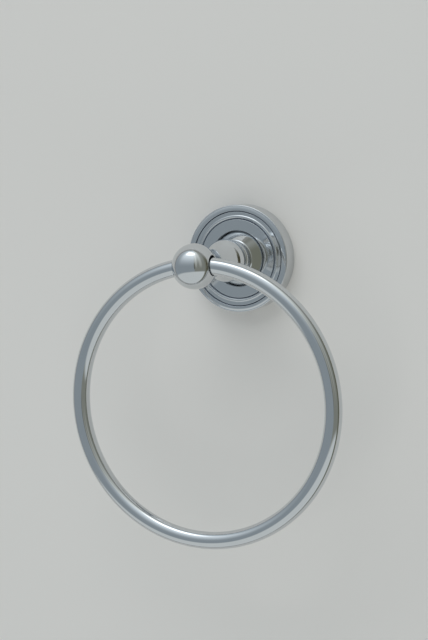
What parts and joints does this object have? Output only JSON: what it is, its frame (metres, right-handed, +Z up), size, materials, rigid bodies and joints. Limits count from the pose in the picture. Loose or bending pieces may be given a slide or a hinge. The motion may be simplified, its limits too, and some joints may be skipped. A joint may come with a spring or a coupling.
{
  "type": "towel ring",
  "caption": "Wall-mounted towel ring: a plain round ring swings in the ball end of a turned post on a round stepped flange, all polished chrome.",
  "frame": {"origin": "on the wall plane, at the axis of the post, midway between the bracket's two screw holes", "axes": "+Z up, +X to the right for someone facing the wall, +Y into the wall, so the part stands out towards -Y"},
  "size_m": [0.16, 0.0804, 0.1851],
  "materials": {
    "polished_chrome": "polished",
    "zinc_casting": "matte",
    "plated_steel": "satin",
    "blackened_steel": "satin"
  },
  "bodies": {
    "fixture": {"flange": "polished_chrome", "post": "polished_chrome", "wall_bracket": "zinc_casting", "post_screw": "plated_steel", "post_washer": "plated_steel", "grub_screw": "blackened_steel"},
    "ring": {"towel_ring": "polished_chrome"}
  },
  "joints": [
    {"name": "ring_swing", "type": "hinge", "parent": "fixture", "child": "ring", "pos_m": [0, -0.0679, 0], "axis": [-1, 0, 0], "range_deg": [-24.5, 204.5]}
  ]
}
